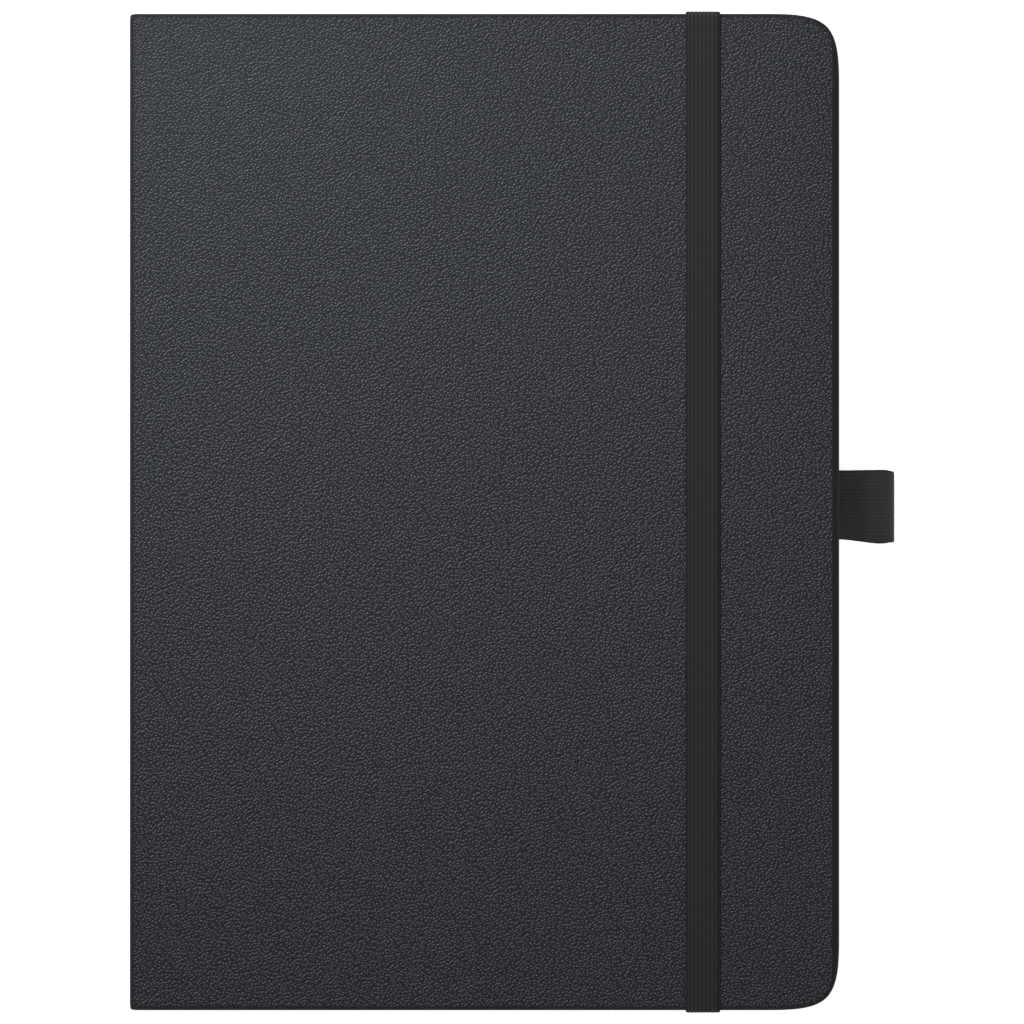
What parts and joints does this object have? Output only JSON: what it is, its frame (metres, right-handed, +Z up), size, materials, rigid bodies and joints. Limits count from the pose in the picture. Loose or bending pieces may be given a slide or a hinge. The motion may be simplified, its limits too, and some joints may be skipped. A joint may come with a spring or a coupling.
{
  "type": "hardcover sketchbook",
  "caption": "Closed A5 hardcover sketchbook in black leatherette, with rounded fore-edge corners, sewn leaves, an elastic closure band and an elastic pen loop.",
  "frame": {"origin": "on the underside of the back cover, in the middle of the whole outline with the pen loop", "axes": "+X from the spine to the fore edge and pen loop, +Y from the tail to the head, +Z up through the front cover"},
  "size_m": [0.1614, 0.2112, 0.0183],
  "materials": {
    "leatherette": "matt, fine pebble grain",
    "board": "plain grey board",
    "paper": "uncoated drawing paper",
    "thread": "twisted linen",
    "mull": "open-weave cotton",
    "headband": "woven bead",
    "elastic": "ribbed elastic webbing"
  },
  "bodies": {
    "back_cover_and_block": {"back_board": "board", "back_infill_card": "board", "spine_strip": "board", "back_and_spine_wrap": "leatherette", "back_pastedown": "paper", "back_flyleaf": "paper", "endpaper_joint": "paper", "spine_lining": "paper", "sewing_thread": "thread", "mull_cloth": "mull", "headband_head": "headband", "headband_tail": "headband", "closure_band_ends": "elastic", "pen_loop": "elastic", "section_1": "paper", "section_2": "paper", "section_3": "paper", "section_4": "paper", "section_5": "paper", "section_6": "paper"},
    "front_cover": {"front_board": "board", "front_infill_card": "board", "front_cover_wrap": "leatherette", "front_pastedown": "paper"},
    "front_flyleaf_leaf": {"front_flyleaf": "paper"},
    "leaf_1": {"turning_leaf_1": "paper"},
    "leaf_2": {"turning_leaf_2": "paper"},
    "leaf_3": {"turning_leaf_3": "paper"},
    "leaf_4": {"turning_leaf_4": "paper"},
    "band": {"closure_band": "elastic"}
  },
  "joints": [
    {"name": "front_cover_open", "type": "hinge", "parent": "back_cover_and_block", "child": "front_cover", "pos_m": [-0.0793, 0, 0.01624], "axis": [0, -1, 0], "range_deg": [0, 185.7]},
    {"name": "front_flyleaf_turn", "type": "hinge", "parent": "back_cover_and_block", "child": "front_flyleaf_leaf", "pos_m": [-0.07686, 0, 0.01624], "axis": [0, -1, 0], "range_deg": [0, 177]},
    {"name": "leaf_1_turn", "type": "hinge", "parent": "back_cover_and_block", "child": "leaf_1", "pos_m": [-0.07686, 0, 0.01624], "axis": [0, -1, 0], "range_deg": [0, 174.5]},
    {"name": "leaf_2_turn", "type": "hinge", "parent": "back_cover_and_block", "child": "leaf_2", "pos_m": [-0.07686, 0, 0.01624], "axis": [0, -1, 0], "range_deg": [0, 171.5]},
    {"name": "leaf_3_turn", "type": "hinge", "parent": "back_cover_and_block", "child": "leaf_3", "pos_m": [-0.07686, 0, 0.01624], "axis": [0, -1, 0], "range_deg": [0, 168.5]},
    {"name": "leaf_4_turn", "type": "hinge", "parent": "back_cover_and_block", "child": "leaf_4", "pos_m": [-0.07686, 0, 0.01624], "axis": [0, -1, 0], "range_deg": [0, 165]},
    {"name": "closure_band_swing", "type": "hinge", "parent": "back_cover_and_block", "child": "band", "pos_m": [0.0401, 0, 0.0035], "axis": [0, 1, 0], "range_deg": [0, 180], "deforming": ["closure_band"]}
  ],
  "couplings": [
    {"joint": "front_flyleaf_turn", "follows": "front_cover_open", "ratio": 0.95315},
    {"joint": "leaf_1_turn", "follows": "front_cover_open", "ratio": 0.93968},
    {"joint": "leaf_2_turn", "follows": "front_cover_open", "ratio": 0.92353},
    {"joint": "leaf_3_turn", "follows": "front_cover_open", "ratio": 0.90737},
    {"joint": "leaf_4_turn", "follows": "front_cover_open", "ratio": 0.88852}
  ]
}
